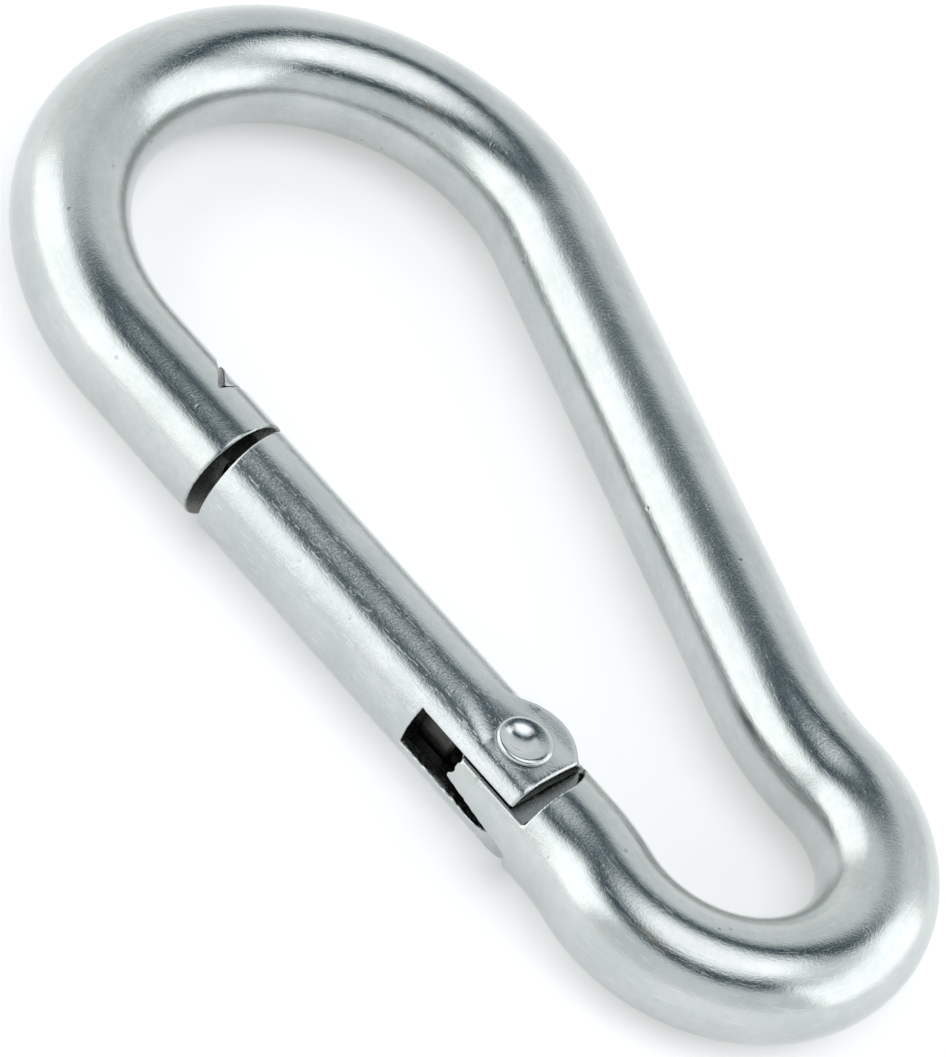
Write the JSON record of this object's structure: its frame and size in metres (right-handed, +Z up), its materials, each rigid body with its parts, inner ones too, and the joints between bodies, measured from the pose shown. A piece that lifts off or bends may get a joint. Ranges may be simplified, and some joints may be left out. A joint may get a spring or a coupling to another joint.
{
  "type": "pear-shaped spring hook",
  "caption": "Pear-shaped snap hook bent from round steel bar, with a spring-loaded tubular gate that swings inwards and latches into a notch in the nose.",
  "frame": {"origin": "under the middle of the overall box, on the plane that the hook lies on", "axes": "+X from the wide bow to the narrow bow through both bow centres, +Y from the gate to the spine, +Z up out of the plane of the loop"},
  "size_m": [0.1172, 0.0582, 0.011],
  "materials": {
    "zinc_bar": "bright zinc plating, satin gloss with fine pits and drawing marks",
    "zinc_gate": "bright zinc plating, satin gloss with scuffs along the tube",
    "rivet_steel": "bright zinc plating, pressed head",
    "plunger_steel": "oiled dark steel",
    "spring_steel": "oiled spring wire"
  },
  "bodies": {
    "hook": {"hook_body": "zinc_bar"},
    "gate_arm": {"gate": "zinc_gate", "hinge_rivet": "rivet_steel", "closing_spring": "spring_steel"},
    "follower": {"plunger": "plunger_steel"}
  },
  "joints": [
    {"name": "gate_hinge", "type": "hinge", "parent": "hook", "child": "gate_arm", "pos_m": [0.02555, -0.01523, 0.0055], "axis": [0, 0, -1], "range_deg": [0, 38], "stiffness_Nm_per_rad": 0.03, "springref_deg": -57.3},
    {"name": "plunger_slide", "type": "slide", "parent": "gate_arm", "child": "follower", "axis": [-0.9878, -0.1554, 0], "range_m": [0, 0.001], "deforming": ["closing_spring"]}
  ],
  "couplings": [
    {"joint": "plunger_slide", "follows": "gate_hinge", "m_per_rad": 0.0015}
  ]
}
